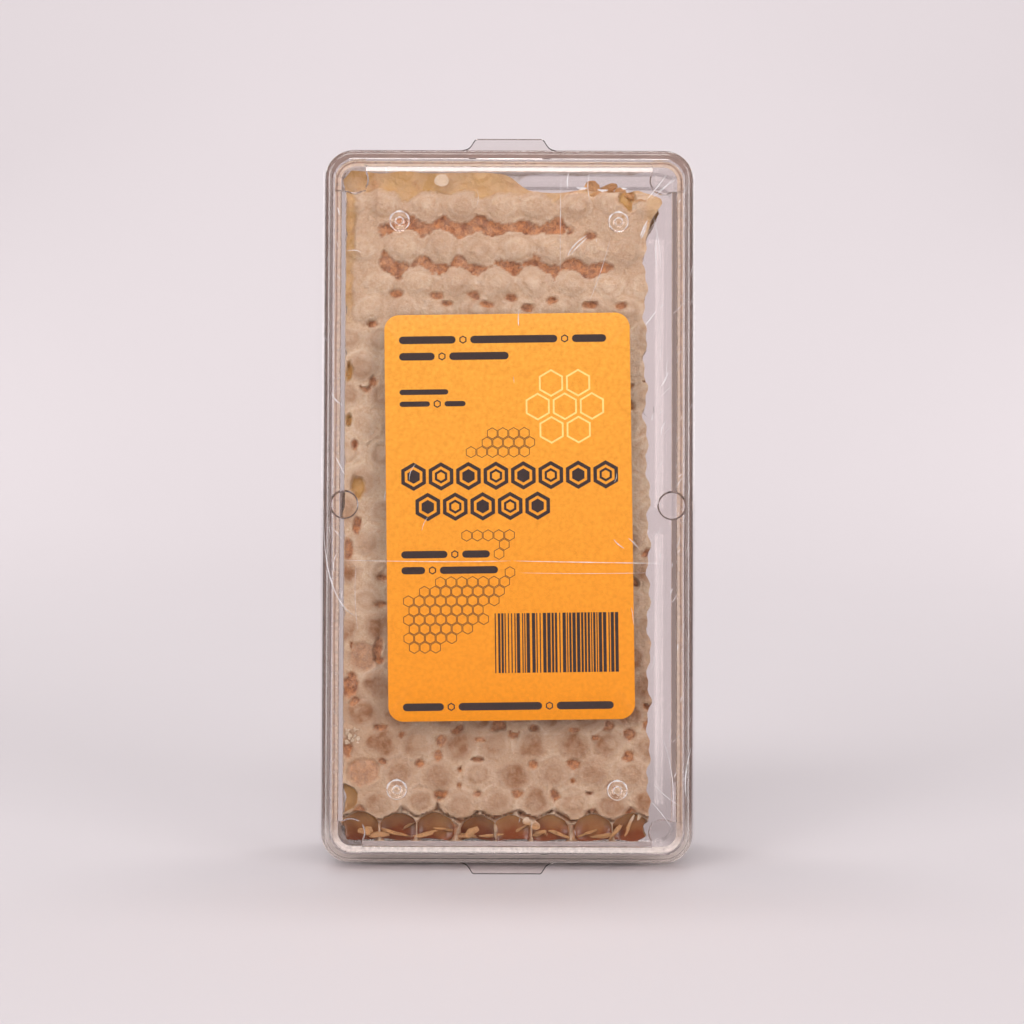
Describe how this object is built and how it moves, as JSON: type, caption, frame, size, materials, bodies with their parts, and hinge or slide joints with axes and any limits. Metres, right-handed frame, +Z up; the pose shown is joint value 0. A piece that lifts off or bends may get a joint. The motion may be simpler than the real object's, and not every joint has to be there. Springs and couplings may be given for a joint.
{
  "type": "cut comb honey pack",
  "caption": "Slab of capped honeycomb sealed in a clear plastic box with a lid, a paper label on the lid and a clear film sleeve round it; it stands upright on its short end.",
  "frame": {"origin": "centre of the pack's own box, on the surface that it stands on", "axes": "+Z up the standing pack; -Y out of the lid and its label; +X to the right as the label is read"},
  "size_m": [0.0568, 0.0442, 0.1107],
  "materials": {
    "clear_plastic": "clear, glossy, injection moulded",
    "beeswax": "soft sheen wax cappings over honey",
    "label_paper": "printed satin paper",
    "clear_film": "clear, glossy, thin shrink film"
  },
  "bodies": {
    "root": {"lid": "clear_plastic", "tray": "clear_plastic", "comb": "beeswax", "label": "label_paper", "film": "clear_film"}
  },
  "joints": []
}
